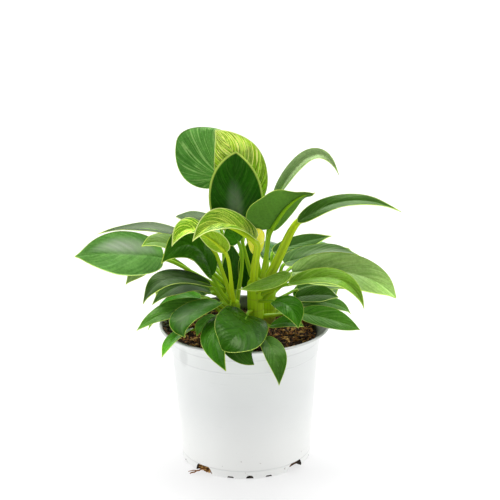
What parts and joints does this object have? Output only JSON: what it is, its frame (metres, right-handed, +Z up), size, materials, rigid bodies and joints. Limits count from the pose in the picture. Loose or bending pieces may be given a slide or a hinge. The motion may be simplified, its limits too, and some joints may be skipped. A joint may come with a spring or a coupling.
{
  "type": "potted philodendron birkin",
  "caption": "Bushy philodendron birkin with pinstriped oval leaves on long stalks, growing from short crowns in a white plastic nursery pot filled with soil.",
  "frame": {"origin": "middle of the flat underside of the pot, on the surface that it stands on", "axes": "+Z up along the axis of the pot, -Y towards the front of the plant, +X to its right as seen from the front"},
  "size_m": [0.2627, 0.2028, 0.275],
  "materials": {
    "pot_plastic": "satin white moulded plastic",
    "potting_soil": "crumbly brown potting mix",
    "crown_green": "smooth waxy yellow-green stem",
    "leaf_green": "glossy dark green leaf with a pale margin",
    "leaf_lime": "waxy lime young leaf with fine pale pinstripes"
  },
  "bodies": {
    "root": {"pot": "pot_plastic", "soil": "potting_soil", "crown_1": "crown_green", "crown_2": "crown_green", "crown_3": "crown_green", "crown_4": "crown_green", "leaf_01": "leaf_green", "leaf_02": "leaf_lime", "leaf_03": "leaf_green", "leaf_04": "leaf_green", "leaf_05": "leaf_lime", "leaf_06": "leaf_green", "leaf_07": "leaf_green", "leaf_08": "leaf_lime", "leaf_09": "leaf_green", "leaf_10": "leaf_lime", "leaf_11": "leaf_green", "leaf_12": "leaf_green", "leaf_13": "leaf_green", "leaf_14": "leaf_green", "leaf_15": "leaf_green", "leaf_16": "leaf_green", "leaf_17": "leaf_green", "leaf_18": "leaf_green", "leaf_19": "leaf_green", "leaf_20": "leaf_green", "leaf_21": "leaf_green", "leaf_22": "leaf_green", "leaf_23": "leaf_green", "leaf_24": "leaf_green", "leaf_25": "leaf_green", "leaf_26": "leaf_green", "leaf_27": "leaf_green", "leaf_28": "leaf_green", "leaf_29": "leaf_green", "leaf_30": "leaf_green", "leaf_31": "leaf_green", "leaf_32": "leaf_green", "leaf_33": "leaf_green", "leaf_34": "leaf_green", "leaf_35": "leaf_green", "leaf_36": "leaf_green", "leaf_37": "leaf_green", "leaf_38": "leaf_green", "leaf_39": "leaf_green", "leaf_40": "leaf_green", "leaf_41": "leaf_green", "leaf_42": "leaf_lime", "leaf_43": "leaf_green", "leaf_44": "leaf_green", "leaf_45": "leaf_green", "leaf_46": "leaf_green", "leaf_47": "leaf_green", "leaf_48": "leaf_green", "leaf_49": "leaf_green", "leaf_50": "leaf_green", "leaf_51": "leaf_green", "leaf_52": "leaf_green"}
  },
  "joints": []
}
